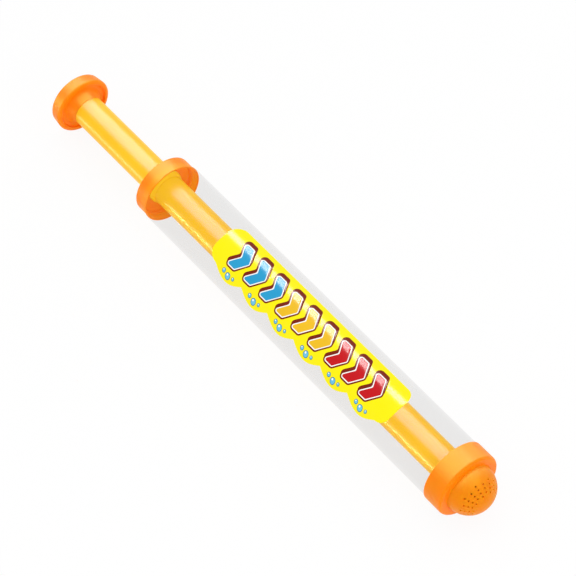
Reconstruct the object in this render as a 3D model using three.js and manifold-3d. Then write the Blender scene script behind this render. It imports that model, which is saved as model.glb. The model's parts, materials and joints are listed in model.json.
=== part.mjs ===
// Water squirter: a clear barrel with a sprinkler rose at the front and a pull plunger through the rear cap.
// Millimetres. The barrel lies along X with the rose at +X, +Z is up and the front collar rests on Z = 0.

import * as THREE from 'three';
import { mergeVertices } from 'three/addons/utils/BufferGeometryUtils.js';
import Module from 'manifold-3d';

const wasm = await Module();
wasm.setup();

// Fits
const SEAT_GAP = 0.2;
const RUNNING_GAP = 0.3;
const SEAL_GAP = 0.15;

// Barrel: the tube is thinned at both ends to a tongue that the caps slide over
const BARREL_OD = 40;
const BARREL_WALL = 2.2;
const BARREL_CLEAR_LENGTH = 252;
const TONGUE_WALL = 0.9;
const REAR_TONGUE_LENGTH = 4.5;

// Rear cap: a cup, open to the front, with the rod through its floor
const REAR_CAP_LENGTH = 10;
const REAR_RIM_WALL = 0.8;
const REAR_CAP_DRAFT = 0.4;
const REAR_FLOOR = 3;
const REAR_EDGE_RADIUS = 0.6;
const BUSH_LIP = 1.2;
const BUSH_WALL = 1;
const BUSH_PROUD = 3.3;
const BUSH_NOSE = 2.4;
const BUSH_NOSE_WALL = 0.25;

// Front collar
const COLLAR_LENGTH = 13.6;
const COLLAR_WALL = 1.8;
const COLLAR_FRONT_WALL = 2;
const COLLAR_REAR_EDGE = 0.4;
const COLLAR_FRONT_EDGE = 1.5;

// Sprinkler rose: a hollow dome on a flange, with long and short radial rows of holes in turn
const ROSE_RADIUS = 15.4;
const ROSE_WALL = 1.8;
const ROSE_FLANGE = 1.6;
const ROSE_ROW_PAIRS = 9;
const ROSE_LONG_ROW = 4;
const ROSE_HOLE_D = 1.2;
const ROSE_HOLE_SIDES = 6;
const ROSE_DRILL_OVERRUN = 1.8;
const ROSE_FIRST_TILT = 30.5;
const ROSE_TILT_STEP = 9;
const ROSE_ROW_TURN = 14;
const GASKET_THICKNESS = 1;
const GASKET_WIDTH = 2.4;

// Plunger rod and knob
const ROD_OD = 19.4;
const ROD_WALL = 1.6;
const ROD_EXPOSED = 73.5;
const KNOB_RIM_OD = 37.6;
const KNOB_BACK_OD = 35.4;
const KNOB_RIM_LENGTH = 8.4;
const KNOB_BOSS_RISE = 4.8;
const KNOB_DISH_DEPTH = 1.4;
const KNOB_RIM_WIDTH = 3.2;
const KNOB_DISH_WIDTH = 2.4;
const KNOB_BACK_EDGE = 0.7;
const KNOB_FRONT_EDGE = 1.6;
const KNOB_SPIGOT_LENGTH = 14;

// Piston
const PISTON_LENGTH = 7.2;
const PISTON_GAP = 0.4;
const PISTON_SPIGOT_LENGTH = 12;
const PISTON_STOP_GAP = 0.3;
const SEAL_SECTION = 3;

// Label: a film on the barrel with a straight upper edge and a scalloped lower edge
const LABEL_LENGTH = 156;
const LABEL_MIDDLE = 134.8;
const LABEL_TOP = 14.7;
const LABEL_BOTTOM = 10.4;
const LABEL_SCALLOP_DEPTH = 4.2;
const LABEL_SCALLOPS = 6;
const LABEL_END_RADIUS = 7;
const LABEL_FILM = 0.25;
const LABEL_GLUE = 0.1;
const LABEL_TURN = 26;

// Facets: round pieces have flat sides that touch the true circle from outside
const FACETS = 32;
const ARC_STEPS = 8;
const EDGE_STEPS = 3;
const SCALLOP_STEPS = 8;
const SEAL_SIDES = 12;
const MERGE_DISTANCE = 1e-4;
const TO_CORNER = 1 / Math.cos(Math.PI / FACETS);

// Radii
const barrelR = BARREL_OD / 2;
const boreR = barrelR - BARREL_WALL;
const tongueR = boreR + TONGUE_WALL;
const socketR = tongueR + SEAT_GAP;
const rearRimR = socketR + REAR_RIM_WALL;
const rearBackR = rearRimR - REAR_CAP_DRAFT;
const collarR = socketR + COLLAR_WALL;
const rodR = ROD_OD / 2;
const rodBoreR = rodR - ROD_WALL;
const spigotR = rodBoreR - SEAT_GAP;
const bushBoreR = rodR + RUNNING_GAP;
const bushR = bushBoreR + BUSH_WALL;
const bushSeatR = bushR + SEAT_GAP;
const lipBoreR = bushBoreR + SEAT_GAP;
const roseNeckHoleR = ROSE_RADIUS + SEAT_GAP;
const flangeR = socketR - SEAT_GAP;
const gasketR = flangeR;
const pistonR = boreR - PISTON_GAP;
const sealMiddleR = boreR - SEAL_GAP - SEAL_SECTION / 2;
const grooveR = sealMiddleR - SEAL_SECTION / 2 - SEAT_GAP;
const grooveWidth = SEAL_SECTION + 2 * SEAT_GAP;
const labelInR = barrelR + LABEL_GLUE;
const labelOutR = labelInR + LABEL_FILM;

// Stations along the axis, measured from the barrel's rear shoulder towards the rose
const barrelEnd = BARREL_CLEAR_LENGTH;
const rearRim = -SEAT_GAP;
const rearBack = rearRim - REAR_CAP_LENGTH;
const rearFloor = rearBack + REAR_FLOOR;
const rearLedge = -REAR_TONGUE_LENGTH - SEAT_GAP;
const bushSeat = rearBack + BUSH_LIP;
const bushFront = rearFloor + BUSH_PROUD;
const collarRear = barrelEnd + SEAT_GAP;
const collarFront = collarRear + COLLAR_LENGTH;
const collarInside = collarFront - COLLAR_FRONT_WALL;
const flangeFront = collarInside - SEAT_GAP;
const flangeRear = flangeFront - ROSE_FLANGE;
const gasketFront = flangeRear - SEAT_GAP;
const gasketRear = gasketFront - GASKET_THICKNESS;
const frontTongue = gasketRear - SEAT_GAP;
const pistonFront = gasketRear - PISTON_STOP_GAP;
const pistonRear = pistonFront - PISTON_LENGTH;
const sealMiddle = (pistonFront + pistonRear) / 2;
const bossEnd = rearBack - ROD_EXPOSED;
const knobRim = bossEnd - KNOB_BOSS_RISE;
const knobBack = knobRim - KNOB_RIM_LENGTH;
const knobDish = knobRim - KNOB_DISH_DEPTH;
const roseTip = collarFront + ROSE_RADIUS;

// Materials
const plastic = (color, roughness) => new THREE.MeshStandardMaterial({ color, roughness, metalness: 0 });
const orange = plastic(0xff8a1e, 0.35);
const yellow = plastic(0xfdc23a, 0.3);
const filmYellow = plastic(0xfff200, 0.3);
const blackRubber = plastic(0x1c1c1e, 0.75);
const clear = plastic(0xe8e8e8, 0.1);
clear.transparent = true;
clear.opacity = 0.35;

// An arc of profile points [radius, station] about a centre, angles in degrees from the outward radius
function arc(radius, station, size, from, to, steps) {
  const points = [];
  for (let i = 0; i <= steps; i += 1) {
    const angle = THREE.MathUtils.degToRad(from + ((to - from) * i) / steps);
    points.push([radius + size * Math.cos(angle), station + size * Math.sin(angle)]);
  }
  return points;
}

// One closed mesh: shared corners are merged, slivers on the axis dropped and faces turned outwards
function closed(geometry) {
  geometry.deleteAttribute('normal');
  geometry.deleteAttribute('uv');
  const merged = mergeVertices(geometry, MERGE_DISTANCE);
  const place = merged.getAttribute('position');
  const corner = (i) => new THREE.Vector3().fromBufferAttribute(place, i);
  const source = merged.getIndex().array;
  const triangles = [];
  let volume = 0;
  for (let i = 0; i < source.length; i += 3) {
    const [a, b, c] = source.slice(i, i + 3);
    if (a === b || b === c || c === a) continue;
    triangles.push(a, b, c);
    volume += corner(a).dot(corner(b).cross(corner(c)));
  }
  if (volume < 0) triangles.reverse();
  const result = new THREE.BufferGeometry();
  result.setAttribute('position', place);
  result.setIndex(triangles);
  return result;
}

// A turned piece about the X axis from profile points [radius, station]; a ring closes on itself
function turned(profile, ring) {
  const outline = ring ? [...profile, profile[0]] : profile;
  const points = outline.map(([radius, station]) => new THREE.Vector2(radius * TO_CORNER, station));
  const lathe = new THREE.LatheGeometry(points, FACETS, Math.PI / FACETS);
  return closed(lathe.rotateZ(-Math.PI / 2));
}

function toSolid(geometry) {
  const vertProperties = new Float32Array(geometry.getAttribute('position').array);
  const triVerts = new Uint32Array(geometry.getIndex().array);
  return new wasm.Manifold(new wasm.Mesh({ numProp: 3, vertProperties, triVerts }));
}

function fromSolid(solid) {
  const mesh = solid.getMesh();
  const result = new THREE.BufferGeometry();
  result.setAttribute('position', new THREE.BufferAttribute(mesh.vertProperties, 3));
  result.setIndex(new THREE.BufferAttribute(mesh.triVerts, 1));
  return result;
}

function barrelTube() {
  return turned([
    [boreR, -REAR_TONGUE_LENGTH],
    [tongueR, -REAR_TONGUE_LENGTH],
    [tongueR, 0],
    [barrelR, 0],
    [barrelR, barrelEnd],
    [tongueR, barrelEnd],
    [tongueR, frontTongue],
    [boreR, frontTongue],
  ], true);
}

// The cup's inner wall steps in behind the tongue to stop it
function rearCap() {
  return turned([
    [lipBoreR, rearBack],
    ...arc(rearBackR - REAR_EDGE_RADIUS, rearBack + REAR_EDGE_RADIUS, REAR_EDGE_RADIUS, -90, 0, EDGE_STEPS),
    [rearRimR, rearRim],
    [socketR, rearRim],
    [socketR, rearLedge],
    [boreR - SEAT_GAP, rearLedge],
    [boreR - SEAT_GAP, rearFloor],
    [bushSeatR, rearFloor],
    [bushSeatR, bushSeat],
    [lipBoreR, bushSeat],
  ], true);
}

// The bush tapers towards the front
function rodGuideBush() {
  return turned([
    [bushBoreR, bushSeat + SEAT_GAP],
    [bushR, bushSeat + SEAT_GAP],
    [bushR, bushFront - BUSH_NOSE],
    [bushBoreR + BUSH_NOSE_WALL, bushFront],
    [bushBoreR, bushFront],
  ], true);
}

function frontCollar() {
  const rearEdge = arc(collarR - COLLAR_REAR_EDGE, collarRear + COLLAR_REAR_EDGE, COLLAR_REAR_EDGE, -90, 0, 1);
  const frontEdge = arc(
    collarR - COLLAR_FRONT_EDGE, collarFront - COLLAR_FRONT_EDGE, COLLAR_FRONT_EDGE, 0, 90, EDGE_STEPS,
  );
  return turned([
    [socketR, collarRear],
    ...rearEdge,
    ...frontEdge,
    [roseNeckHoleR, collarFront],
    [roseNeckHoleR, collarInside],
    [socketR, collarInside],
  ], true);
}

// The holes point straight out of the dome; short rows sit half a step further out than long ones
function sprayRose() {
  const inside = ROSE_RADIUS - ROSE_WALL;
  const dome = turned([
    ...arc(0, collarFront, inside, 90, 0, ARC_STEPS),
    [inside, flangeRear],
    [flangeR, flangeRear],
    [flangeR, flangeFront],
    [ROSE_RADIUS, flangeFront],
    ...arc(0, collarFront, ROSE_RADIUS, 0, 90, ARC_STEPS),
  ], false);
  let rose = toSolid(dome);
  const drillLength = ROSE_WALL + 2 * ROSE_DRILL_OVERRUN;
  for (let row = 0; row < 2 * ROSE_ROW_PAIRS; row += 1) {
    const short = row % 2;
    const turn = THREE.MathUtils.degToRad(ROSE_ROW_TURN + (row * 180) / ROSE_ROW_PAIRS);
    for (let i = 0; i < ROSE_LONG_ROW - short; i += 1) {
      const tilt = THREE.MathUtils.degToRad(ROSE_FIRST_TILT + (i + short / 2) * ROSE_TILT_STEP);
      const drill = new THREE.CylinderGeometry(ROSE_HOLE_D / 2, ROSE_HOLE_D / 2, drillLength, ROSE_HOLE_SIDES);
      drill.translate(0, ROSE_RADIUS - ROSE_WALL / 2, 0);
      drill.rotateZ(-Math.PI / 2);
      drill.rotateY(-tilt);
      drill.rotateX(turn);
      drill.translate(collarFront, 0, 0);
      rose = rose.subtract(toSolid(closed(drill)));
    }
  }
  return fromSolid(rose);
}

function roseGasket() {
  return turned([
    [gasketR - GASKET_WIDTH, gasketRear],
    [gasketR, gasketRear],
    [gasketR, gasketFront],
    [gasketR - GASKET_WIDTH, gasketFront],
  ], true);
}

// The upper edge is straight and the lower edge a row of even scallops, between rounded ends
function labelOutline() {
  const rear = LABEL_MIDDLE - LABEL_LENGTH / 2;
  const front = rear + LABEL_LENGTH;
  const scallopLength = (LABEL_LENGTH - 2 * LABEL_END_RADIUS) / LABEL_SCALLOPS;
  const corner = LABEL_END_RADIUS;
  const outline = new THREE.Shape();
  outline.absarc(front - corner, LABEL_TOP - corner, corner, 0, Math.PI / 2, false);
  outline.absarc(rear + corner, LABEL_TOP - corner, corner, Math.PI / 2, Math.PI, false);
  outline.absarc(rear + corner, corner - LABEL_BOTTOM, corner, Math.PI, 1.5 * Math.PI, false);
  for (let i = 1; i < LABEL_SCALLOPS * SCALLOP_STEPS; i += 1) {
    const along = (i / SCALLOP_STEPS) * scallopLength;
    const fall = LABEL_SCALLOP_DEPTH * Math.abs(Math.sin((Math.PI * i) / SCALLOP_STEPS));
    outline.lineTo(rear + corner + along, -LABEL_BOTTOM - fall);
  }
  outline.absarc(front - corner, corner - LABEL_BOTTOM, corner, 1.5 * Math.PI, 2 * Math.PI, false);
  return outline;
}

// The film is the part of a thin sleeve on the barrel that lies inside the outline
function barrelLabel() {
  const sleeve = turned([
    [labelInR, 0],
    [labelOutR, 0],
    [labelOutR, barrelEnd],
    [labelInR, barrelEnd],
  ], true);
  const cutter = new THREE.ExtrudeGeometry(labelOutline(), {
    depth: BARREL_OD, bevelEnabled: false, curveSegments: EDGE_STEPS,
  });
  cutter.rotateX(THREE.MathUtils.degToRad(LABEL_TURN));
  return fromSolid(toSolid(sleeve).intersect(toSolid(closed(cutter))));
}

function plungerRod() {
  return turned([
    [rodBoreR, bossEnd + SEAT_GAP],
    [rodR, bossEnd + SEAT_GAP],
    [rodR, pistonRear - SEAT_GAP],
    [rodBoreR, pistonRear - SEAT_GAP],
  ], true);
}

// A flared push plate, dished towards the rod round a hollow-sided boss, with a spigot in the rod
function pullKnob() {
  const rimR = KNOB_RIM_OD / 2;
  const backR = KNOB_BACK_OD / 2;
  const lipR = rimR - KNOB_RIM_WIDTH;
  const footR = lipR - KNOB_DISH_WIDTH;
  const rise = bossEnd - knobDish;
  const boss = [];
  for (let i = 0; i <= EDGE_STEPS; i += 1) {
    const along = i / EDGE_STEPS;
    boss.push([footR + (rodR - footR) * Math.sqrt(along), knobDish + rise * along]);
  }
  return turned([
    [0, knobBack],
    ...arc(backR - KNOB_BACK_EDGE, knobBack + KNOB_BACK_EDGE, KNOB_BACK_EDGE, -90, 0, EDGE_STEPS),
    ...arc(rimR - KNOB_FRONT_EDGE, knobRim - KNOB_FRONT_EDGE, KNOB_FRONT_EDGE, 0, 90, EDGE_STEPS),
    [lipR, knobRim],
    [lipR, knobDish],
    ...boss,
    [spigotR, bossEnd],
    [spigotR, bossEnd + KNOB_SPIGOT_LENGTH],
    [0, bossEnd + KNOB_SPIGOT_LENGTH],
  ], false);
}

function pistonHead() {
  return turned([
    [0, pistonRear - PISTON_SPIGOT_LENGTH],
    [spigotR, pistonRear - PISTON_SPIGOT_LENGTH],
    [spigotR, pistonRear],
    [pistonR, pistonRear],
    [pistonR, sealMiddle - grooveWidth / 2],
    [grooveR, sealMiddle - grooveWidth / 2],
    [grooveR, sealMiddle + grooveWidth / 2],
    [pistonR, sealMiddle + grooveWidth / 2],
    [pistonR, pistonFront],
    [0, pistonFront],
  ], false);
}

function pistonSeal() {
  const section = arc(sealMiddleR, sealMiddle, SEAL_SECTION / 2, 0, 360, SEAL_SIDES);
  return turned(section.slice(0, -1), true);
}

const squirter = new THREE.Group();
const addPiece = (name, geometry, material) => {
  const mesh = new THREE.Mesh(geometry, material);
  mesh.name = name;
  squirter.add(mesh);
};

addPiece('barrel_tube', barrelTube(), clear);
addPiece('barrel_label', barrelLabel(), filmYellow);
addPiece('rear_cap', rearCap(), orange);
addPiece('rod_guide_bush', rodGuideBush(), yellow);
addPiece('front_collar', frontCollar(), orange);
addPiece('spray_rose', sprayRose(), orange);
addPiece('rose_gasket', roseGasket(), blackRubber);
addPiece('plunger_rod', plungerRod(), yellow);
addPiece('pull_knob', pullKnob(), orange);
addPiece('piston_head', pistonHead(), orange);
addPiece('piston_seal', pistonSeal(), blackRubber);

squirter.position.set(-(knobBack + roseTip) / 2, 0, collarR);

export default squirter;
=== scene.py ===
"""Looks of a toy water squirter: orange caps, a yellow plunger, a clear barrel and a printed label."""

import json
import math

import bmesh
import bpy
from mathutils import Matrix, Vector
from mathutils.geometry import delaunay_2d_cdt

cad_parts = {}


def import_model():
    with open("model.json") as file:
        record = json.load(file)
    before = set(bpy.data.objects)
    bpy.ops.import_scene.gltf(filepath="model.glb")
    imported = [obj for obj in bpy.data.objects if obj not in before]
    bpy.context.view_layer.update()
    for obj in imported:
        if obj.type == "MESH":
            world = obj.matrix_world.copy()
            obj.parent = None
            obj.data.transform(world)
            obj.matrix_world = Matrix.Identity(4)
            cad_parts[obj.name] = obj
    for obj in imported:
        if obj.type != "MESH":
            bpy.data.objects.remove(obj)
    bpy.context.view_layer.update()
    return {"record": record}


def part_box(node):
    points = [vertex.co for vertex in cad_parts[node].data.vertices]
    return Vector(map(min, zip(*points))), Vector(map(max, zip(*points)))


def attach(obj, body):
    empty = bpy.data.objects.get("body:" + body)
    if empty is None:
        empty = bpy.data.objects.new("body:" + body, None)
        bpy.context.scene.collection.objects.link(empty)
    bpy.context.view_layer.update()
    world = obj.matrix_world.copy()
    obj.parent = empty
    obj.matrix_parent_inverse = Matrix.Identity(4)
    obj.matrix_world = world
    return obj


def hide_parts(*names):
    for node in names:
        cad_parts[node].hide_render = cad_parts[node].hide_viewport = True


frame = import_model()

# Lengths are in millimetres from here on, and meshes are written in metres
MM = 0.001

# Smoothness of the meshes, with the sharp angle and the dome's spacing in degrees
SEGMENTS = 128
FILLET_STEPS = 5
SHARP_ANGLE = 40
FILM_SPACING = 1.25
DOME_SPACING = 2.2
HOLE_SIDES = 20
BUBBLE_SIDES = 28

# Shorter than this is nothing: in outlines, in metres on a mesh, and off the dome's axis
OUTLINE_TOLERANCE = 1e-6
MERGE_DISTANCE = 1e-7
ON_AXIS = 1e-9

# Walls and fits that the node boxes don't give
SEAT_GAP = 0.2
CLOSE_GAP = 0.06
BARREL_WALL = 2.2
TONGUE_WALL = 0.9
CAP_FLOOR = 3
CAP_FLOOR_FILLET = 1
CAP_DRAFT = 0.4
CAP_TONGUE = 4.7
CAP_EDGE = 0.6
CAP_RIM_EDGE = 0.3
CAP_MOUTH_EDGE = 0.2
BEAD_LENGTH = 1.1
BEAD_STEP = 0.2
BEAD_EDGE = 0.1
BUSH_WALL = 1
BUSH_LIP = 1.2
BUSH_NOSE = 2.4
BUSH_NOSE_WALL = 0.25
BUSH_NOSE_EDGE = 0.1
COLLAR_FRONT_WALL = 2
COLLAR_REAR_EDGE = 0.3
COLLAR_FRONT_EDGE = 1.8
GASKET_WIDTH = 2.4
ROD_WALL = 1.6
ROD_REAR_EDGE = 0.1
FINE_EDGE = 0.25

# Sprinkler rose, with tilts, turns and the plain margin round a hole in degrees
ROSE_RADIUS = 15.4
ROSE_WALL = 1.8
ROSE_FLANGE = 1.6
ROSE_ROW_PAIRS = 9
ROSE_LONG_ROW = 4
ROSE_HOLE_R = 0.5
ROSE_HOLE_EDGE = 0.1
ROSE_HOLE_MARGIN = 1.2
ROSE_FIRST_TILT = 30.5
ROSE_TILT_STEP = 9
ROSE_ROW_TURN = 14
ROSE_PATCH_TILT = 72
ROSE_SHOULDER_STEPS = 6

# Pull knob
KNOB_BACK_OD = 35.4
KNOB_RIM_LENGTH = 8.4
KNOB_BOSS_RISE = 4.8
KNOB_DISH_DEPTH = 1.4
KNOB_RIM_WIDTH = 3.2
KNOB_DISH_WIDTH = 2.4
KNOB_BACK_EDGE = 0.7
KNOB_FRONT_EDGE = 1.6
KNOB_LIP_EDGE = 0.6
KNOB_BOSS_STEPS = 12

# Piston
PISTON_LENGTH = 7.2
SEAL_SECTION = 3
SEAL_SIDES = 24

# Label, turned down from the top in degrees, with its outline as it is seen from the front
LABEL_TURN = 26
LABEL_TOP = 14.7
LABEL_BOTTOM = 10.4
LABEL_SCALLOP_DEPTH = 4.2
LABEL_SCALLOPS = 6
LABEL_SCALLOP_STEPS = 24
LABEL_END_RADIUS = 7
LABEL_END_STEPS = 10
LABEL_FILM = 0.25
LABEL_GLUE = 0.1

# Printed arrowheads and bubbles on the label
ARROWS = 9
ARROW_INKS = ("blue", "orange", "red")
ARROW_PITCH = 14.6
ARROW_HALF = 7.6
ARROW_DEPTH = 5.4
ARROW_STROKE = 6.6
ARROW_RISE = 1.8
ARROW_CORNER = 0.9
ARROW_SHADOW = (-0.5, 1.3)
WHITE_LINE = 0.6
DARK_LINE = 0.95
BUBBLES = ((0, -11.3, 2.0), (4.2, -10.6, 1.1), (-4.1, -10.2, 1.4))
BUBBLE_LINE = 0.35
BUBBLE_GLINT = 0.3

# Colours, in linear light
ORANGE = (1.0, 0.23, 0.002)
YELLOW = (1.0, 0.54, 0.004)
FILM_YELLOW = (0.95, 0.84, 0.0)
RUBBER = (0.012, 0.012, 0.013)
CLEAR = (0.06, 0.06, 0.06)
WHITE = (1.0, 1.0, 1.0)

# How much a colour varies over a piece, and the inks with their colours and variation
MOTTLE = 0.06
EVEN_MOTTLE = 0.02
INKS = {
    "blue": ((0.02, 0.33, 0.6), 0.1),
    "orange": ((0.84, 0.5, 0.015), 0.1),
    "red": ((0.54, 0.004, 0.008), 0.1),
    "dark_red": ((0.19, 0.012, 0.0), MOTTLE),
    "white": ((0.95, 0.95, 0.93), EVEN_MOTTLE),
    "water_blue": ((0.15, 0.55, 0.8), 0.15),
    "deep_blue": ((0.01, 0.13, 0.24), MOTTLE),
}

# Finishes: roughness, strength and tint of the reflection, and how much shows through
PLAIN_SHINE = 0.5
ORANGE_ROUGHNESS = 0.42
ORANGE_SHINE = 0.21
ORANGE_TINT = (1.0, 0.95, 0.2)
YELLOW_ROUGHNESS = 0.32
YELLOW_SHINE = 0.17
YELLOW_TINT = (1.0, 0.2, 0.9)
CLEAR_ROUGHNESS = 0.12
CLEAR_SHINE = 0.1
CLEAR_ALPHA = 0.098
BORE_ALPHA = 0.005
PRINT_ROUGHNESS = 0.18
PRINT_SHINE = 0.15
RUBBER_ROUGHNESS = 0.7

# Flow marks in the colour and the fine grain of the skin, in marks per metre and metres of depth
FLOW_SCALE = 45
FLOW_DETAIL = 3
GRAIN_SCALE = 700
GRAIN_DETAIL = 2
GRAIN_DEPTH = 0.0002
GRAIN_RELIEF = 0.05
POLISHED_RELIEF = 0.01
GLOSS_SPREAD = 0.06

# Share of light that enters a moulded cap, and how far its red, green and blue wander, in millimetres
CAP_GLOW = 0.6
GLOW_REACH = (6.0, 2.5, 0.5)

# Camera, in metres and degrees
CAMERA_PLACE = (0.7860, -0.6108, 1.2685)
CAMERA_AZIMUTH = 51.556
CAMERA_ELEVATION = 51.376
CAMERA_LENS = 175
CAMERA_SENSOR = 36

# Lights: place and size in metres, and power in watts
KEY = ((-0.2, 0.35, 1.1), (1.6, 1.6), 1)
FILL = ((1.1, -0.35, 0.7), (1.0, 1.0), 2.2)
GLOSS_CARD = ((-0.7, 0.3, 1.0), (1.7, 1.8), 190)
FRONT_CARD = ((-0.6, -0.95, 1.0), (1.2, 0.7), 38)
FAR_CARD = ((-0.4, 1.2, 0.35), (0.9, 0.7), 13)
ROSE_CARD = ((0.75, 0.2, 1.2), (1.0, 1.2), 30)
KNOB_CARD = ((-0.86, -0.98, 0.15), (0.4, 0.25), 18)
LABEL_CARD = ((-0.55, 0.31, 1.0), (0.6, 0.36), 25)
CAP_STRIP = ((-0.19, -0.1, 0.004), (0.18, 0.02), 0.12)
ROD_STRIPS = (
    ((0.02, -0.056, 0.004), (0.3, 0.008), 0.51),
    ((-0.18, -0.056, 0.004), (0.1, 0.008), 0.09),
)
GOLD_LIGHT = (1.0, 1.0, 0.44)
WORLD_LIGHT = 1.0

# Floor, in metres, and the share of it that is its own white
FLOOR_SIZE = 8
FLOOR_COLOUR = (0.9, 0.9, 0.9)
FLOOR_OWN_WHITE = 0.9

record = frame["record"]
body_of = {node: body for body, nodes in record["behaviour"]["bodies"].items() for node in nodes}


def span(node):
    """Rear and front stations and outer radius of a node."""
    low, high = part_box(node)
    return low.x / MM, high.x / MM, (high.z - low.z) / 2 / MM


axis_height = (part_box("front_collar")[0].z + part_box("front_collar")[1].z) / 2 / MM
rod_rear, rod_front, rod_r = span("plunger_rod")
cap_rear, cap_rim, cap_r = span("rear_cap")
bush_rear, bush_front, bush_r = span("rod_guide_bush")
tube_rear, tube_front, tube_r = span("barrel_tube")
collar_rear, collar_front, collar_r = span("front_collar")
rose_rear, _, flange_r = span("spray_rose")
piston_rear, piston_front, piston_r = span("piston_head")
seal_rear, seal_front, seal_r = span("piston_seal")
knob_rear, knob_front, knob_r = span("pull_knob")
gasket_rear, gasket_front, gasket_r = span("rose_gasket")
label_rear, label_front = (corner.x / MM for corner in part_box("barrel_label"))

bore_r = tube_r - BARREL_WALL
tongue_r = bore_r + TONGUE_WALL
socket_r = tongue_r + SEAT_GAP
rod_bore_r = rod_r - ROD_WALL
spigot_r = rod_bore_r - SEAT_GAP
label_r = tube_r + LABEL_GLUE + LABEL_FILM


# Outlines

def rounded(corners, closed):
    """Points of an outline whose corners (x, y, radius) are rounded off."""
    outline = []
    for i, (x, y, radius) in enumerate(corners):
        corner = Vector((x, y))
        if not radius or (not closed and i in (0, len(corners) - 1)):
            outline.append(corner)
            continue
        back = (Vector(corners[i - 1][:2]) - corner).normalized()
        ahead = (Vector(corners[(i + 1) % len(corners)][:2]) - corner).normalized()
        half = back.angle(ahead) / 2
        middle = corner + (back + ahead).normalized() * radius / math.sin(half)
        start = corner + back * radius / math.tan(half) - middle
        end = corner + ahead * radius / math.tan(half) - middle
        for step in range(FILLET_STEPS + 1):
            outline.append(middle + start.slerp(end, step / FILLET_STEPS) * radius)
    return outline


def circle(x, y, radius, sides):
    """Points round a circle."""
    turns = [2 * math.pi * i / sides for i in range(sides)]
    return [Vector((x + radius * math.cos(turn), y + radius * math.sin(turn))) for turn in turns]


def quarter(x, y, radius, first):
    """Points of a quarter circle, from an angle in degrees on."""
    turns = [math.radians(first + 90 * step / LABEL_END_STEPS) for step in range(LABEL_END_STEPS + 1)]
    return [Vector((x + radius * math.cos(turn), y + radius * math.sin(turn))) for turn in turns]


def grown(corners, margin):
    """Corners of a counter-clockwise outline moved outwards by a margin."""
    moved = []
    for i, (x, y, radius) in enumerate(corners):
        corner = Vector((x, y))
        back = (corner - Vector(corners[i - 1][:2])).normalized()
        ahead = (Vector(corners[(i + 1) % len(corners)][:2]) - corner).normalized()
        out = Vector((back.y, -back.x)) + Vector((ahead.y, -ahead.x))
        moved.append((*(corner + out * 2 * margin / out.length_squared), radius + margin))
    return moved


# Meshes

def at(station, radius, turn):
    """A place in metres, from its station, its distance to the axis and its turn from the top towards -Y."""
    return Vector((station, -radius * math.sin(turn), axis_height + radius * math.cos(turn))) * MM


def turned(outline, closed):
    """A mesh turned about the barrel's axis from (station, radius) points."""
    work = bmesh.new()
    rings = []
    for station, radius in outline:
        count = SEGMENTS if radius > 0 else 1
        rings.append([work.verts.new(at(station, radius, 2 * math.pi * i / SEGMENTS)) for i in range(count)])
    followers = rings[1:] + rings[:1] if closed else rings[1:]
    for ring, follower in zip(rings, followers):
        for i in range(SEGMENTS):
            corners = [ring[i % len(ring)], ring[(i + 1) % SEGMENTS % len(ring)]]
            corners += [follower[(i + 1) % SEGMENTS % len(follower)], follower[i % len(follower)]]
            work.faces.new(dict.fromkeys(corners))
    bmesh.ops.recalc_face_normals(work, faces=work.faces)
    return work


def grid(low, high, spacing):
    """Points of a staggered grid that fills a box in the plane."""
    points = []
    rows = int((high[1] - low[1]) / spacing)
    columns = int((high[0] - low[0]) / spacing)
    for row in range(rows + 1):
        for column in range(columns + 1):
            shift = (row % 2) / 2
            points.append(Vector((low[0] + (column + shift) * spacing, low[1] + row * spacing)))
    return points


def meshed(loops, fill):
    """Triangles in the plane between closed loops, with the loops that hold each one."""
    places = []
    faces = []
    for loop in loops:
        faces.append(list(range(len(places), len(places) + len(loop))))
        places += loop
    places += fill
    points, _, triangles, _, _, holders = delaunay_2d_cdt(places, [], faces, 1, OUTLINE_TOLERANCE)
    return points, triangles, holders


def dress(node, work, materials):
    """Makes a piece from a mesh in work: it stands for the CAD node and moves with its body."""
    mesh = bpy.data.meshes.new(node + "_finish")
    work.to_mesh(mesh)
    work.free()
    mesh.shade_smooth()
    mesh.set_sharp_from_angle(angle=math.radians(SHARP_ANGLE))
    for material in materials:
        mesh.materials.append(material)
    piece = bpy.data.objects.new(node + "_finish", mesh)
    bpy.context.scene.collection.objects.link(piece)
    even = piece.modifiers.new("even_normals", "WEIGHTED_NORMAL")
    even.keep_sharp = True
    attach(piece, body_of[node])
    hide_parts(node)
    return piece


# Materials

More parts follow.
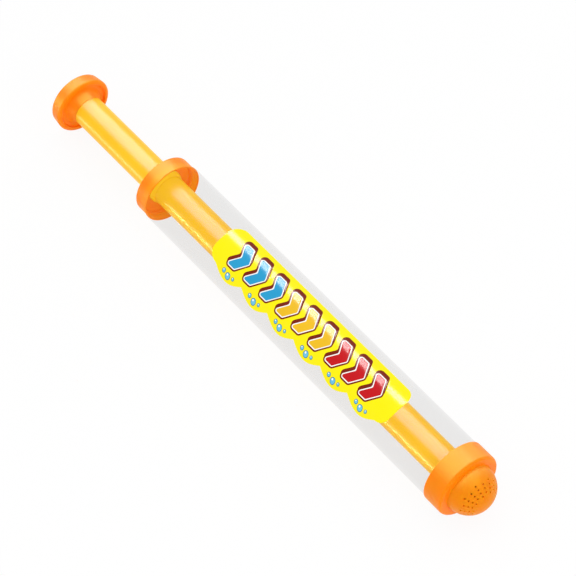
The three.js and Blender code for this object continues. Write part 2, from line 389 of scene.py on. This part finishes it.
def plastic(name, colour, roughness, tint=WHITE, alpha=1.0, mottle=MOTTLE, shine=PLAIN_SHINE, glow=0.0,
            relief=GRAIN_RELIEF):
    """Moulded plastic: faint flow marks in the colour, uneven gloss and a fine skin."""
    material = bpy.data.materials.new(name)
    material.use_nodes = True
    nodes = material.node_tree.nodes
    link = material.node_tree.links.new
    shader = nodes["Principled BSDF"]
    place = nodes.new("ShaderNodeTexCoord")
    flow = nodes.new("ShaderNodeTexNoise")
    flow.inputs["Scale"].default_value = FLOW_SCALE
    flow.inputs["Detail"].default_value = FLOW_DETAIL
    link(place.outputs["Object"], flow.inputs["Vector"])
    mix = nodes.new("ShaderNodeMix")
    mix.data_type = "RGBA"
    mix.inputs["A"].default_value = (*(c * (1 - mottle) for c in colour), 1)
    mix.inputs["B"].default_value = (*(min(1, c * (1 + mottle)) for c in colour), 1)
    link(flow.outputs["Fac"], mix.inputs["Factor"])
    link(mix.outputs["Result"], shader.inputs["Base Color"])
    grain = nodes.new("ShaderNodeTexNoise")
    grain.inputs["Scale"].default_value = GRAIN_SCALE
    grain.inputs["Detail"].default_value = GRAIN_DETAIL
    link(place.outputs["Object"], grain.inputs["Vector"])
    gloss = nodes.new("ShaderNodeMapRange")
    gloss.inputs["To Min"].default_value = roughness - GLOSS_SPREAD
    gloss.inputs["To Max"].default_value = roughness + GLOSS_SPREAD
    link(grain.outputs["Fac"], gloss.inputs["Value"])
    link(gloss.outputs["Result"], shader.inputs["Roughness"])
    skin = nodes.new("ShaderNodeBump")
    skin.inputs["Strength"].default_value = relief
    skin.inputs["Distance"].default_value = GRAIN_DEPTH
    link(grain.outputs["Fac"], skin.inputs["Height"])
    link(skin.outputs["Normal"], shader.inputs["Normal"])
    shader.inputs["Specular Tint"].default_value = (*tint, 1)
    shader.inputs["Specular IOR Level"].default_value = shine
    shader.inputs["Alpha"].default_value = alpha
    shader.inputs["Subsurface Weight"].default_value = glow
    shader.inputs["Subsurface Radius"].default_value = GLOW_REACH
    shader.inputs["Subsurface Scale"].default_value = MM
    return material


orange = plastic("orange_plastic", ORANGE, ORANGE_ROUGHNESS, tint=ORANGE_TINT, shine=ORANGE_SHINE,
                 glow=CAP_GLOW)
yellow = plastic("yellow_plastic", YELLOW, YELLOW_ROUGHNESS, tint=YELLOW_TINT, shine=YELLOW_SHINE,
                 relief=POLISHED_RELIEF)
clear = plastic("clear_plastic", CLEAR, CLEAR_ROUGHNESS, alpha=CLEAR_ALPHA, shine=CLEAR_SHINE)
clear_bore = plastic("clear_plastic_bore", CLEAR, CLEAR_ROUGHNESS, alpha=BORE_ALPHA, shine=CLEAR_SHINE)
rubber = plastic("black_rubber", RUBBER, RUBBER_ROUGHNESS)
film = plastic("label_film", FILM_YELLOW, PRINT_ROUGHNESS, mottle=EVEN_MOTTLE, shine=PRINT_SHINE)
inks = {
    ink: plastic("ink_" + ink, colour, PRINT_ROUGHNESS, mottle=mottle, shine=PRINT_SHINE)
    for ink, (colour, mottle) in INKS.items()
}


# Barrel

def barrel_tube():
    """A clear tube, thinned at both ends to the tongues that the caps slide over."""
    rear_shoulder = cap_rim + SEAT_GAP
    front_shoulder = collar_rear - SEAT_GAP
    corners = [
        (tube_rear, bore_r, FINE_EDGE), (tube_rear, tongue_r, FINE_EDGE),
        (rear_shoulder, tongue_r, 0), (rear_shoulder, tube_r, FINE_EDGE),
        (front_shoulder, tube_r, FINE_EDGE), (front_shoulder, tongue_r, 0),
        (tube_front, tongue_r, FINE_EDGE), (tube_front, bore_r, FINE_EDGE),
    ]
    work = turned(rounded(corners, True), True)
    for face in work.faces:
        middle = face.calc_center_median() / MM
        face.material_index = int(math.hypot(middle.y, middle.z - axis_height) < tube_r - FINE_EDGE)
    tube = dress("barrel_tube", work, [clear, clear_bore])
    # The clear wall throws neither shadow nor colour on what it holds
    tube.visible_shadow = False
    tube.visible_diffuse = False


# Caps

def rear_cap():
    """A cup with a thin bead round its rim and the bush's seat in its floor."""
    back_r = cap_r - CAP_DRAFT
    lip_r = bush_r - BUSH_WALL + SEAT_GAP
    seat_r = bush_r + SEAT_GAP
    floor = cap_rear + CAP_FLOOR
    ledge = cap_rim - CAP_TONGUE + SEAT_GAP
    bead = cap_rim - BEAD_LENGTH
    corners = [
        (cap_rear, lip_r, FINE_EDGE), (cap_rear, back_r, CAP_EDGE),
        (bead, back_r, BEAD_EDGE), (bead + BEAD_STEP, cap_r, BEAD_EDGE),
        (cap_rim, cap_r, CAP_RIM_EDGE), (cap_rim, socket_r, CAP_MOUTH_EDGE), (ledge, socket_r, 0),
        (ledge, bore_r - SEAT_GAP, FINE_EDGE), (floor, bore_r - SEAT_GAP, CAP_FLOOR_FILLET),
        (floor, seat_r, FINE_EDGE), (cap_rear + BUSH_LIP, seat_r, 0), (cap_rear + BUSH_LIP, lip_r, 0),
    ]
    cap = dress("rear_cap", turned(rounded(corners, True), True), [orange])
    # The cap throws no orange on the pieces beside it
    cap.visible_diffuse = False
    return cap


def rod_guide_bush():
    """A ring round the rod in the cap's floor, tapered towards the front."""
    bore = rod_r + CLOSE_GAP
    corners = [
        (bush_rear, bore, FINE_EDGE), (bush_rear, bush_r, FINE_EDGE),
        (bush_front - BUSH_NOSE, bush_r, FINE_EDGE),
        (bush_front, bore + BUSH_NOSE_WALL, BUSH_NOSE_EDGE), (bush_front, bore, 0),
    ]
    return dress("rod_guide_bush", turned(rounded(corners, True), True), [yellow])


def front_collar():
    """A collar over the barrel's front end, whose front wall holds the rose by its flange."""
    neck_r = ROSE_RADIUS + CLOSE_GAP
    inside = collar_front - COLLAR_FRONT_WALL
    corners = [
        (collar_rear, socket_r, FINE_EDGE), (collar_rear, collar_r, COLLAR_REAR_EDGE),
        (collar_front, collar_r, COLLAR_FRONT_EDGE), (collar_front, neck_r, FINE_EDGE),
        (inside, neck_r, 0), (inside, socket_r, FINE_EDGE),
    ]
    collar = dress("front_collar", turned(rounded(corners, True), True), [orange])
    # The collar throws no orange on the pieces beside it
    collar.visible_diffuse = False
    return collar


# Sprinkler rose

def rose_holes():
    """Tilt and turn of each hole, in radians: long and short rows in turn."""
    holes = []
    for row in range(2 * ROSE_ROW_PAIRS):
        short = row % 2
        turn = math.radians(ROSE_ROW_TURN) + row * math.pi / ROSE_ROW_PAIRS
        for i in range(ROSE_LONG_ROW - short):
            holes.append((math.radians(ROSE_FIRST_TILT + (i + short / 2) * ROSE_TILT_STEP), turn))
    return holes


def dome_direction(tilt, turn):
    """Direction from the dome's middle, with x along the barrel and z up."""
    return Vector((math.cos(tilt), -math.sin(tilt) * math.sin(turn), math.sin(tilt) * math.cos(turn)))


def dome_place(direction, radius):
    """A place in metres on the dome."""
    return Vector((collar_front, 0, axis_height)) * MM + direction * radius * MM


def flat_of(direction):
    """The dome laid flat: distance from the middle is the tilt in degrees."""
    tilt = math.degrees(direction.angle(Vector((1, 0, 0))))
    across = Vector((direction.y, direction.z))
    return across.normalized() * tilt if across.length > ON_AXIS else across


def dome_of(flat):
    """Direction of a point of the dome that was laid flat."""
    tilt = math.radians(flat.length)
    across = flat.normalized() * math.sin(tilt) if flat.length > ON_AXIS else flat
    return Vector((math.cos(tilt), across.x, across.y))


def ring_round(tilt, turn, size):
    """Directions round a hole, at a distance given as an angle."""
    middle = dome_direction(tilt, turn)
    side = middle.orthogonal().normalized()
    other = middle.cross(side)
    ring = []
    for i in range(HOLE_SIDES):
        along = 2 * math.pi * i / HOLE_SIDES
        out = side * math.cos(along) + other * math.sin(along)
        ring.append(middle * math.cos(size) + out * math.sin(size))
    return ring


def dome_skin(work, radius, hole_rings):
    """One face of the dome with its holes left open; gives back the verts round each hole."""
    turns = [2 * math.pi * i / SEGMENTS for i in range(SEGMENTS)]
    edge = [flat_of(dome_direction(math.radians(ROSE_PATCH_TILT), turn)) for turn in turns]
    loops = [[flat_of(direction) for direction in ring] for ring in hole_rings]
    reach = ROSE_PATCH_TILT - DOME_SPACING
    clear_of = math.degrees(ROSE_HOLE_R / ROSE_RADIUS) + ROSE_HOLE_MARGIN
    middles = [sum(loop, Vector((0, 0))) / len(loop) for loop in loops]
    fill = [
        point for point in grid((-reach, -reach), (reach, reach), DOME_SPACING)
        if point.length < reach and all((point - middle).length > clear_of for middle in middles)
    ]
    places, triangles, holders = meshed([edge, *loops], fill)
    verts = [work.verts.new(dome_place(dome_of(place), radius)) for place in places]
    for triangle, holder in zip(triangles, holders):
        if holder == [0]:
            work.faces.new([verts[i] for i in triangle])
    first = len(edge)
    return [verts[first + i * HOLE_SIDES: first + (i + 1) * HOLE_SIDES] for i in range(len(loops))]


def spray_rose():
    """A hollow dome on a flange, with every hole open right through."""
    inner_r = ROSE_RADIUS - ROSE_WALL
    holes = rose_holes()
    mouth_r = ROSE_HOLE_R + ROSE_HOLE_EDGE
    wide = [ring_round(tilt, turn, mouth_r / ROSE_RADIUS) for tilt, turn in holes]
    narrow = [ring_round(tilt, turn, ROSE_HOLE_R / ROSE_RADIUS) for tilt, turn in holes]
    shoulder = []
    for step in range(ROSE_SHOULDER_STEPS + 1):
        tilt = math.radians(ROSE_PATCH_TILT + (90 - ROSE_PATCH_TILT) * step / ROSE_SHOULDER_STEPS)
        shoulder.append((math.cos(tilt), math.sin(tilt)))
    flange_front = rose_rear + ROSE_FLANGE
    outline = [Vector((collar_front + ROSE_RADIUS * x, ROSE_RADIUS * y)) for x, y in shoulder]
    outline += rounded([
        (collar_front, ROSE_RADIUS, 0), (flange_front, ROSE_RADIUS, FINE_EDGE),
        (flange_front, flange_r, FINE_EDGE), (rose_rear, flange_r, FINE_EDGE),
        (rose_rear, inner_r, FINE_EDGE), (collar_front, inner_r, 0),
    ], False)[1:-1]
    outline += [Vector((collar_front + inner_r * x, inner_r * y)) for x, y in reversed(shoulder)]
    work = turned(outline, False)
    outer = dome_skin(work, ROSE_RADIUS, wide)
    inner = dome_skin(work, inner_r, narrow)
    for ring, outer_ring, inner_ring in zip(narrow, outer, inner):
        mouth = [work.verts.new(dome_place(way, ROSE_RADIUS - ROSE_HOLE_EDGE)) for way in ring]
        for upper, lower in ((outer_ring, mouth), (mouth, inner_ring)):
            for i in range(HOLE_SIDES):
                j = (i + 1) % HOLE_SIDES
                work.faces.new([upper[i], upper[j], lower[j], lower[i]])
    bmesh.ops.remove_doubles(work, verts=work.verts, dist=MERGE_DISTANCE)
    bmesh.ops.recalc_face_normals(work, faces=work.faces)
    return dress("spray_rose", work, [orange])


def rose_gasket():
    """A flat rubber ring between the rose's flange and the barrel's end."""
    inner = gasket_r - GASKET_WIDTH
    corners = [
        (gasket_rear, inner, FINE_EDGE), (gasket_rear, gasket_r, FINE_EDGE),
        (gasket_front, gasket_r, FINE_EDGE), (gasket_front, inner, FINE_EDGE),
    ]
    dress("rose_gasket", turned(rounded(corners, True), True), [rubber])


# Plunger

def plunger_rod():
    """A tube with the knob's spigot in one end and the piston's in the other."""
    corners = [
        (rod_rear, rod_bore_r, FINE_EDGE), (rod_rear, rod_r, ROD_REAR_EDGE),
        (rod_front, rod_r, FINE_EDGE), (rod_front, rod_bore_r, FINE_EDGE),
    ]
    return dress("plunger_rod", turned(rounded(corners, True), True), [yellow])


def pull_knob():
    """A flared push plate, dished round a hollow-sided boss that runs flush into the rod."""
    rim = knob_rear + KNOB_RIM_LENGTH
    dish = rim - KNOB_DISH_DEPTH
    boss_end = rim + KNOB_BOSS_RISE
    lip_r = knob_r - KNOB_RIM_WIDTH
    foot_r = lip_r - KNOB_DISH_WIDTH
    boss = []
    for step in range(KNOB_BOSS_STEPS + 1):
        along = (step / KNOB_BOSS_STEPS) ** 2
        boss.append((dish + (boss_end - dish) * along, foot_r + (rod_r - foot_r) * math.sqrt(along), 0))
    corners = [
        (knob_rear, 0, 0), (knob_rear, KNOB_BACK_OD / 2, KNOB_BACK_EDGE), (rim, knob_r, KNOB_FRONT_EDGE),
        (rim, lip_r, KNOB_LIP_EDGE), (dish, lip_r, KNOB_LIP_EDGE), *boss,
        (boss_end, spigot_r, 0), (knob_front, spigot_r, FINE_EDGE), (knob_front, 0, 0),
    ]
    return dress("pull_knob", turned(rounded(corners, False), False), [orange])


def piston():
    """The piston head with its O-ring groove, and the O-ring."""
    head_rear = piston_front - PISTON_LENGTH
    groove_rear = seal_rear - SEAT_GAP
    groove_front = seal_front + SEAT_GAP
    groove_r = seal_r - SEAL_SECTION - SEAT_GAP
    corners = [
        (piston_rear, 0, 0), (piston_rear, spigot_r, FINE_EDGE), (head_rear, spigot_r, 0),
        (head_rear, piston_r, FINE_EDGE), (groove_rear, piston_r, FINE_EDGE), (groove_rear, groove_r, 0),
        (groove_front, groove_r, 0), (groove_front, piston_r, FINE_EDGE),
        (piston_front, piston_r, FINE_EDGE), (piston_front, 0, 0),
    ]
    dress("piston_head", turned(rounded(corners, False), False), [orange])
    section = circle((seal_rear + seal_front) / 2, seal_r - SEAL_SECTION / 2, SEAL_SECTION / 2, SEAL_SIDES)
    dress("piston_seal", turned(section, True), [rubber])


# Label

def label_outline():
    """The film's outline: a straight upper edge, rounded ends and a scalloped lower edge."""
    corner = LABEL_END_RADIUS
    start = label_rear + corner
    end = label_front - corner
    top = LABEL_TOP - corner
    foot = corner - LABEL_BOTTOM
    outline = quarter(end, top, corner, 0) + quarter(start, top, corner, 90)
    outline += quarter(start, foot, corner, 180)
    steps = LABEL_SCALLOPS * LABEL_SCALLOP_STEPS
    for i in range(1, steps):
        fall = LABEL_SCALLOP_DEPTH * abs(math.sin(math.pi * i / LABEL_SCALLOP_STEPS))
        outline.append(Vector((start + (end - start) * i / steps, -LABEL_BOTTOM - fall)))
    return outline + quarter(end, foot, corner, 270)


def arrow_corners(x):
    """A fat arrowhead that points to the front, counter-clockwise."""
    back = x - (ARROW_STROKE + ARROW_DEPTH) / 2
    shoulder = back + ARROW_STROKE
    low = ARROW_RISE - ARROW_HALF
    high = ARROW_RISE + ARROW_HALF
    places = [
        (back, low), (shoulder, low), (shoulder + ARROW_DEPTH, ARROW_RISE),
        (shoulder, high), (back, high), (back + ARROW_DEPTH, ARROW_RISE),
    ]
    return [(*place, ARROW_CORNER) for place in places]


def label_print():
    """Every printed shape as (ink, outline), from the lowest layer to the highest."""
    middle = (label_rear + label_front) / 2
    layers = {"border": [], "line": [], "fill": [], "glint": []}
    for i in range(ARROWS):
        corners = arrow_corners(middle + (i - (ARROWS - 1) / 2) * ARROW_PITCH)
        ink = ARROW_INKS[i * len(ARROW_INKS) // ARROWS]
        border = rounded(grown(corners, WHITE_LINE + DARK_LINE), True)
        layers["border"].append(("dark_red", [point + Vector(ARROW_SHADOW) for point in border]))
        layers["border"].append(("dark_red", border))
        layers["line"].append(("white", rounded(grown(corners, WHITE_LINE), True)))
        layers["fill"].append((ink, rounded(corners, True)))
    scallop = (label_front - label_rear - 2 * LABEL_END_RADIUS) / LABEL_SCALLOPS
    for i in range(LABEL_SCALLOPS):
        crest = label_rear + LABEL_END_RADIUS + (i + 0.5) * scallop
        for x, y, radius in BUBBLES:
            layers["line"].append(("deep_blue", circle(crest + x, y, radius, BUBBLE_SIDES)))
            layers["fill"].append(("water_blue", circle(crest + x, y, radius - BUBBLE_LINE, BUBBLE_SIDES)))
            glint = radius * BUBBLE_GLINT
            layers["glint"].append(("white", circle(crest + x - glint, y + glint, glint, BUBBLE_SIDES)))
    return [shape for layer in layers.values() for shape in layer]


def label_place(flat, radius):
    """A place in metres on the film, from its place on the label as it is seen from the front."""
    return at(flat.x, radius, math.radians(LABEL_TURN) - math.asin(flat.y / radius))


def barrel_label():
    """A film wrapped on the barrel, its print cut into the same sheet."""
    shapes = label_print()
    outline = label_outline()
    low = (label_rear, min(point.y for point in outline))
    fill = grid(low, (label_front, LABEL_TOP), FILM_SPACING)
    names = list(inks)
    places, triangles, holders = meshed([outline, *(shape for _, shape in shapes)], fill)
    work = bmesh.new()
    verts = [work.verts.new(label_place(place, label_r)) for place in places]
    for triangle, holder in zip(triangles, holders):
        if 0 not in holder:
            continue
        face = work.faces.new([verts[i] for i in triangle])
        top = max(holder)
        face.material_index = 1 + names.index(shapes[top - 1][0]) if top else 0
    bmesh.ops.delete(work, geom=[v for v in work.verts if not v.link_faces], context="VERTS")
    sheet = list(work.faces)
    bmesh.ops.recalc_face_normals(work, faces=sheet)
    back = bmesh.ops.solidify(work, geom=sheet, thickness=LABEL_FILM * MM)["geom"]
    for face in back:
        if isinstance(face, bmesh.types.BMFace):
            face.material_index = 0
    label = dress("barrel_label", work, [film, *inks.values()])
    # The film throws no shadow or colour on the pieces under it, and isn't mirrored in them
    label.visible_shadow = False
    label.visible_glossy = False
    label.visible_diffuse = False
    return label


# Stage

def seen_or_mirrored(nodes, link):
    """A factor that is 1 for what the camera sees, straight, mirrored or through glass."""
    path = nodes.new("ShaderNodeLightPath")
    most = nodes.new("ShaderNodeMath")
    most.operation = "MAXIMUM"
    last = nodes.new("ShaderNodeMath")
    last.operation = "MAXIMUM"
    link(path.outputs["Is Camera Ray"], most.inputs[0])
    link(path.outputs["Is Glossy Ray"], most.inputs[1])
    link(most.outputs["Value"], last.inputs[0])
    link(path.outputs["Is Transmission Ray"], last.inputs[1])
    return last.outputs["Value"]


def floor():
    """A pale floor: partly its own white for the camera, so that the shadow on it stays faint."""
    half = FLOOR_SIZE / 2
    mesh = bpy.data.meshes.new("floor")
    corners = [(-half, -half, 0), (half, -half, 0), (half, half, 0), (-half, half, 0)]
    mesh.from_pydata(corners, [], [(0, 1, 2, 3)])
    material = bpy.data.materials.new("floor_white")
    material.use_nodes = True
    nodes = material.node_tree.nodes
    link = material.node_tree.links.new
    nodes.remove(nodes["Principled BSDF"])
    matte = nodes.new("ShaderNodeBsdfDiffuse")
    matte.inputs["Color"].default_value = (*FLOOR_COLOUR, 1)
    own = nodes.new("ShaderNodeEmission")
    own.inputs["Strength"].default_value = 1
    share = nodes.new("ShaderNodeMath")
    share.operation = "MULTIPLY"
    share.inputs[1].default_value = FLOOR_OWN_WHITE
    link(seen_or_mirrored(nodes, link), share.inputs[0])
    mix = nodes.new("ShaderNodeMixShader")
    link(share.outputs["Value"], mix.inputs["Fac"])
    link(matte.outputs["BSDF"], mix.inputs[1])
    link(own.outputs["Emission"], mix.inputs[2])
    link(mix.outputs["Shader"], nodes["Material Output"].inputs["Surface"])
    mesh.materials.append(material)
    piece = bpy.data.objects.new("floor", mesh)
    bpy.context.scene.collection.objects.link(piece)


def world():
    """Even soft white light, which is also the white behind the object."""
    made = bpy.data.worlds.new("studio")
    made.use_nodes = True
    sky = made.node_tree.nodes["Background"]
    sky.inputs["Color"].default_value = (*WHITE, 1)
    sky.inputs["Strength"].default_value = WORLD_LIGHT
    bpy.context.scene.world = made


def softbox(name, values, target, colour=WHITE, matte=True, gloss=True, only=()):
    """A rectangular soft light that faces a target, for matte light or gloss, on all pieces or only some."""
    place, size, power = values
    light = bpy.data.lights.new(name, "AREA")
    light.shape = "RECTANGLE"
    light.size, light.size_y = size
    light.energy = power
    light.color = colour
    lamp = bpy.data.objects.new(name, light)
    lamp.location = place
    lamp.rotation_euler = (Vector(target) - Vector(place)).to_track_quat("-Z", "Y").to_euler()
    lamp.visible_camera = False
    lamp.visible_diffuse = matte
    lamp.visible_glossy = gloss
    if only:
        lit = bpy.data.collections.new(name + "_pieces")
        for piece in only:
            lit.objects.link(piece)
        lamp.light_linking.receiver_collection = lit
    bpy.context.scene.collection.objects.link(lamp)


def below(values):
    """The place on the floor under a light."""
    x, y, _ = values[0]
    return (x, y, 0)


def beside(values):
    """The place on the barrel's axis beside a light."""
    return (values[0][0], 0, axis_height * MM)


def camera():
    """A long lens at the place and angle that the picture is taken from."""
    data = bpy.data.cameras.new("camera")
    data.lens = CAMERA_LENS
    data.sensor_width = CAMERA_SENSOR
    eye = bpy.data.objects.new("camera", data)
    eye.location = CAMERA_PLACE
    eye.rotation_euler = (math.radians(90 - CAMERA_ELEVATION), 0, math.radians(CAMERA_AZIMUTH))
    bpy.context.scene.collection.objects.link(eye)
    bpy.context.scene.camera = eye


camera()
floor()
world()
bpy.context.scene.view_settings.view_transform = "Standard"

barrel_tube()
label = barrel_label()
cap = rear_cap()
bush = rod_guide_bush()
collar = front_collar()
rose = spray_rose()
rose_gasket()
rod = plunger_rod()
knob = pull_knob()
piston()

# Matte light falls on everything, and each reflected light on the pieces that show it
plastics = (cap, bush, collar, rose, rod, knob)
knob_back = (knob_rear * MM, 0, axis_height * MM)
softbox("key_softbox", KEY, below(KEY))
softbox("front_fill", FILL, (0, 0, 0), gloss=False)
softbox("gloss_card", GLOSS_CARD, below(GLOSS_CARD), matte=False, only=plastics)
softbox("front_card", FRONT_CARD, below(FRONT_CARD), matte=False, only=(collar, rose))
softbox("far_card", FAR_CARD, beside(FAR_CARD), GOLD_LIGHT, matte=False, only=(collar, rose))
softbox("rose_card", ROSE_CARD, below(ROSE_CARD), GOLD_LIGHT, matte=False, only=(rose,))
softbox("knob_card", KNOB_CARD, knob_back, GOLD_LIGHT, matte=False, only=(knob,))
softbox("label_card", LABEL_CARD, below(LABEL_CARD), matte=False, only=(label,))
for i, strip in enumerate(ROD_STRIPS):
    softbox(f"rod_strip_{i}", strip, beside(strip), GOLD_LIGHT, matte=False, only=(rod,))
softbox("cap_strip", CAP_STRIP, beside(CAP_STRIP), matte=False, only=(cap, knob))
